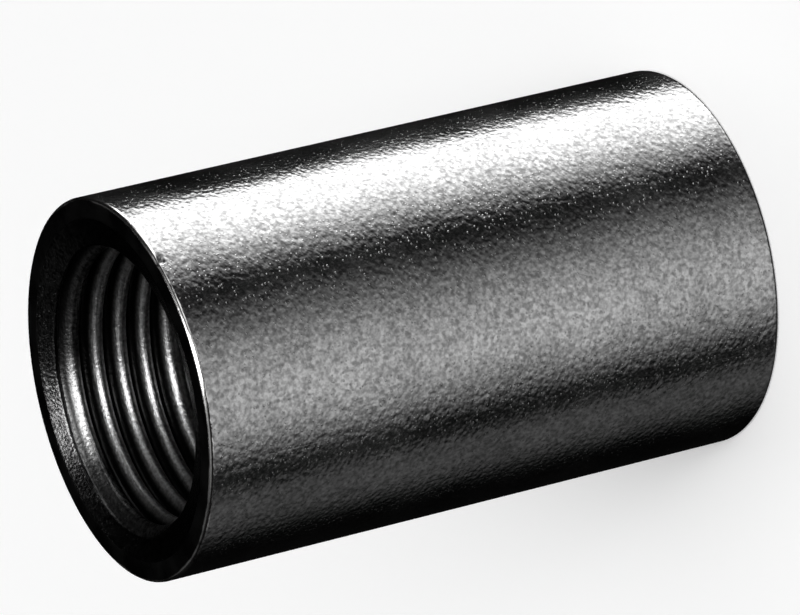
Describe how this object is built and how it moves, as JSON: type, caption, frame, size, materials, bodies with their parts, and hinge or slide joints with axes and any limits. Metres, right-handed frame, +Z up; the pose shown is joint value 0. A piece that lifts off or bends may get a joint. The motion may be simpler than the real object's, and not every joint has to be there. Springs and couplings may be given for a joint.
{
  "type": "pipe socket",
  "caption": "Black steel pipe socket: a plain round sleeve with a flat end face, a countersunk mouth and an internal pipe thread at each end, to join two threaded pipes.",
  "frame": {"origin": "centre of the lower end face, on the bore's axis", "axes": "+Z up along the bore, out of the upper mouth; the socket stands on its lower end face and the thread ridge's sketch plane holds X"},
  "size_m": [0.0264, 0.0264, 0.044],
  "materials": {
    "black_steel": "black drawn steel with a fine pebbled grain, oiled, bare and bright on the worn rim"
  },
  "bodies": {
    "root": {"pipe_socket": "black_steel"}
  },
  "joints": []
}
